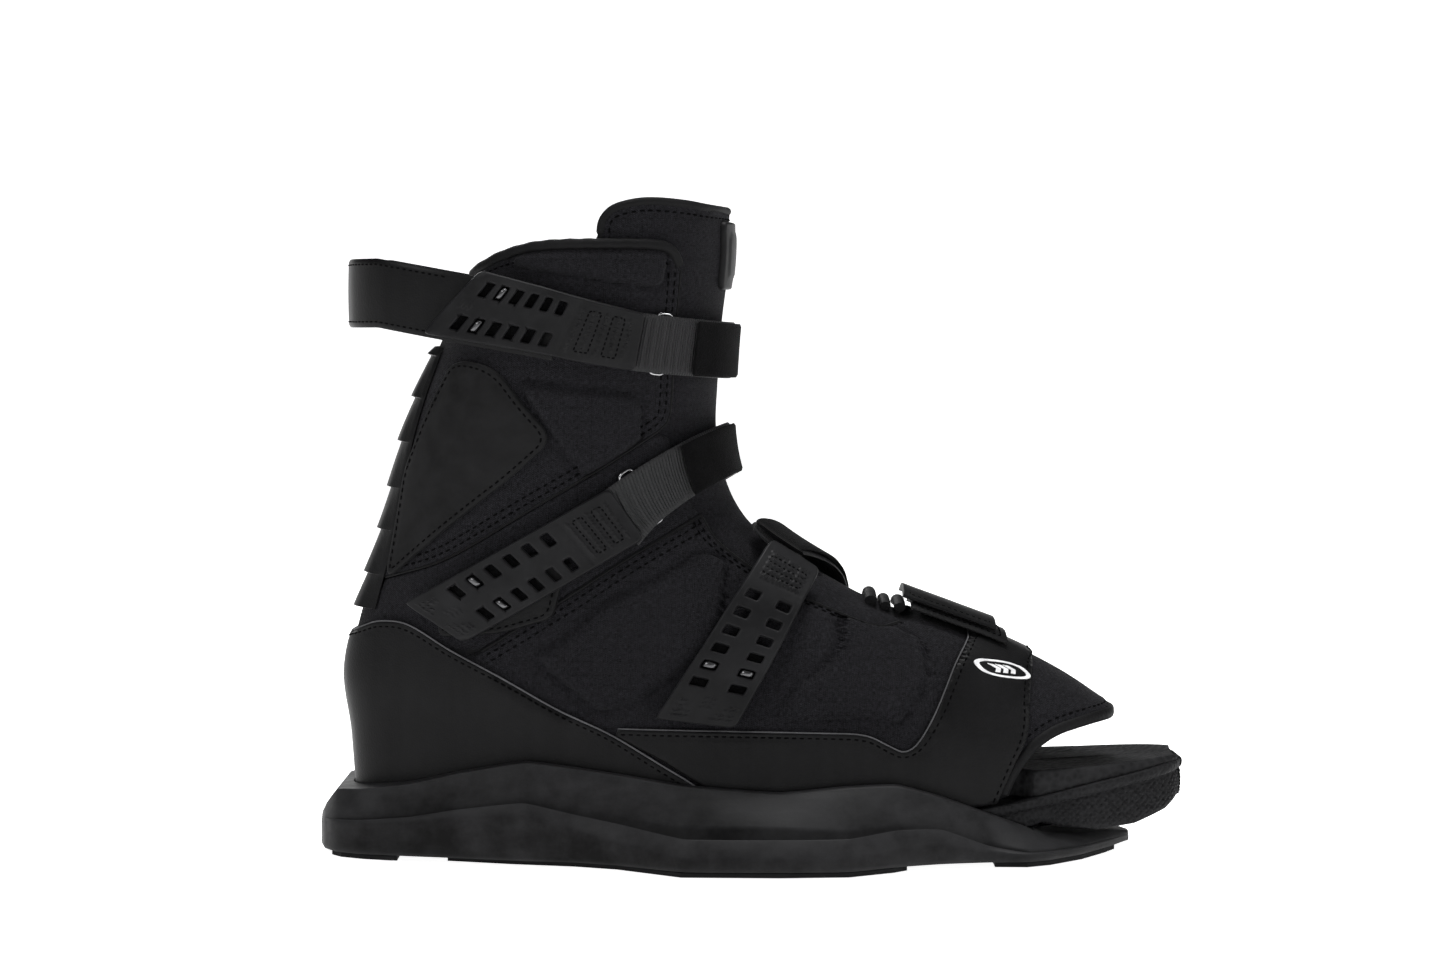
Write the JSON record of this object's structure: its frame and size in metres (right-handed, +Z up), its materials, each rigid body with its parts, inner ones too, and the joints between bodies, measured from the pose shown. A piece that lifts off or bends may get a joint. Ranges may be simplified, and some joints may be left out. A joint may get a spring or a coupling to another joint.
{
  "type": "wakeboard boot",
  "caption": "Open-toe wakeboard boot on a moulded baseplate chassis, with ladder-and-webbing straps that fold back through rings, a padded tongue and a rear pull loop.",
  "frame": {"origin": "midway between the two board-bolt slots, on the underside of the centre board pad, which is the surface of the board", "axes": "+X towards the toe, +Y towards the medial side of a right foot, +Z up out of the board"},
  "size_m": [0.3299, 0.172, 0.247],
  "materials": {
    "chassis_plastic": "moulded, fine mottled grain",
    "pad_rubber": "matt",
    "sole_foam": "moulded diamond texture",
    "footbed_foam": "leather grain",
    "liner_fabric": "knitted lining",
    "ripstop_fabric": "ripstop twill",
    "synthetic_overlay": "matt synthetic with soft sheen",
    "brushed_patch": "brushed",
    "ladder_tpu": "satin moulded",
    "grey_webbing": "ribbed webbing",
    "hook_and_loop": "velvet loop pile",
    "dark_metal": "dark satin",
    "bright_wire": "polished",
    "emblem_white": "satin"
  },
  "bodies": {
    "boot": {"chassis": "chassis_plastic", "pad_centre": "pad_rubber", "pad_heel": "pad_rubber", "pad_toe": "pad_rubber", "sole_screw_1": "dark_metal", "sole_screw_2": "dark_metal", "sole_screw_3": "dark_metal", "sole_screw_4": "dark_metal", "midsole": "sole_foam", "footbed": "footbed_foam", "liner": "liner_fabric", "lower_shell": "ripstop_fabric", "cuff_lateral": "ripstop_fabric", "cuff_medial": "ripstop_fabric", "heel_counter": "synthetic_overlay", "toe_rand": "synthetic_overlay", "spine": "synthetic_overlay", "ankle_patch_lateral": "brushed_patch", "ankle_patch_medial": "brushed_patch", "collar_binding": "synthetic_overlay", "toe_binding": "synthetic_overlay", "throat_tab_base": "synthetic_overlay", "badge": "emblem_white", "ladder_top": "ladder_tpu", "anchor_top": "synthetic_overlay", "post_top_1": "dark_metal", "post_top_2": "dark_metal", "webbing_top": "grey_webbing", "ring_tab_top": "grey_webbing", "keeper_top": "bright_wire", "ladder_mid": "ladder_tpu", "anchor_mid": "synthetic_overlay", "post_mid_1": "dark_metal", "post_mid_2": "dark_metal", "webbing_mid": "grey_webbing", "ring_tab_mid": "grey_webbing", "keeper_mid": "bright_wire", "ladder_low": "ladder_tpu", "anchor_low": "synthetic_overlay", "post_low_1": "dark_metal", "post_low_2": "dark_metal", "webbing_low": "grey_webbing", "ring_tab_low": "grey_webbing"},
    "tongue": {"tongue_pad": "ripstop_fabric", "tongue_skin": "ripstop_fabric", "tongue_patch": "synthetic_overlay"},
    "throat_flap": {"throat_tab_flap": "synthetic_overlay"},
    "pull_loop": {"rear_loop": "synthetic_overlay"},
    "ring_body_top": {"ring_top": "dark_metal"},
    "tail_body_top": {"tail_top": "hook_and_loop"},
    "ring_body_mid": {"ring_mid": "dark_metal"},
    "tail_body_mid": {"tail_mid": "hook_and_loop"},
    "ring_body_low": {"ring_low": "dark_metal"},
    "tail_body_low": {"tail_low": "hook_and_loop"}
  },
  "joints": [
    {"name": "tongue_tilt", "type": "hinge", "parent": "boot", "child": "tongue", "pos_m": [0.042, 0, 0.086], "axis": [0, 1, 0], "range_deg": [-1.5, 0]},
    {"name": "throat_flap_lift", "type": "hinge", "parent": "boot", "child": "throat_flap", "pos_m": [0.0835, 0, 0.0885], "axis": [0, 1, 0], "range_deg": [0, 100]},
    {"name": "pull_loop_swing", "type": "hinge", "parent": "boot", "child": "pull_loop", "pos_m": [-0.086, 0, 0.213], "axis": [0, 1, 0], "range_deg": [-6, 8]},
    {"name": "ring_swing_top", "type": "hinge", "parent": "boot", "child": "ring_body_top", "pos_m": [-0.07229, 0.05007, 0.19411], "axis": [0.0991, 0.1006, 0.99], "range_deg": [0, 12]},
    {"name": "tail_peel_top", "type": "hinge", "parent": "ring_body_top", "child": "tail_body_top", "pos_m": [-0.0628, 0.05106, 0.19305], "axis": [0.0991, 0.1006, 0.99], "range_deg": [0, 95]},
    {"name": "ring_swing_mid", "type": "hinge", "parent": "boot", "child": "ring_body_mid", "pos_m": [-0.07688, 0.04446, 0.11862], "axis": [-0.5344, -0.0132, 0.8451], "range_deg": [0, 12]},
    {"name": "tail_peel_mid", "type": "hinge", "parent": "ring_body_mid", "child": "tail_body_mid", "pos_m": [-0.06844, 0.04619, 0.12397], "axis": [-0.5344, -0.0132, 0.8451], "range_deg": [0, 95]},
    {"name": "ring_swing_low", "type": "hinge", "parent": "boot", "child": "ring_body_low", "pos_m": [-0.02124, 0.04879, 0.07592], "axis": [-0.4223, -0.1283, 0.8973], "range_deg": [0, 12]},
    {"name": "tail_peel_low", "type": "hinge", "parent": "ring_body_low", "child": "tail_body_low", "pos_m": [-0.01043, 0.0498, 0.08092], "axis": [-0.4223, -0.1283, 0.8973], "range_deg": [0, 42]}
  ]
}
